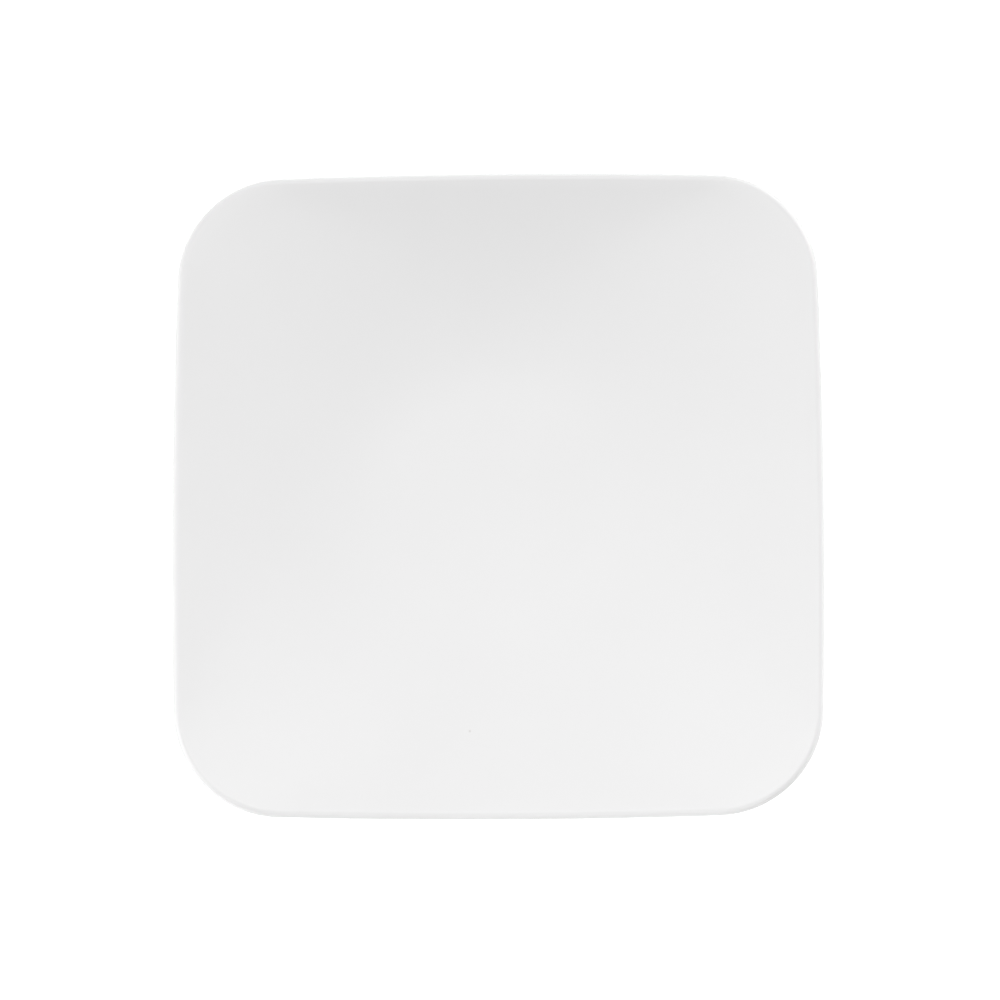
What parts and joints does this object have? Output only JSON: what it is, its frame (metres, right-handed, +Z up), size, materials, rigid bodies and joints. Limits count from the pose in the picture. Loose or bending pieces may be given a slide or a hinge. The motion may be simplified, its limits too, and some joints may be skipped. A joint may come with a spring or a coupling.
{
  "type": "square dinner plate",
  "caption": "Square coupe dinner plate in white glazed ceramic: a smooth hollow face, rounded corners, a thin rounded lip and a low foot ring to stand on.",
  "frame": {"origin": "the middle of the foot ring's standing face, on the table", "axes": "+Z is up, square to the table; +X and +Y run through the middles of two neighbouring sides"},
  "size_m": [0.267, 0.267, 0.024],
  "materials": {
    "bare_clay": "matte",
    "white_glaze": "gloss"
  },
  "bodies": {
    "root": {"ceramic_body": "bare_clay", "glaze_coat": "white_glaze", "base_glaze": "white_glaze"}
  },
  "joints": []
}
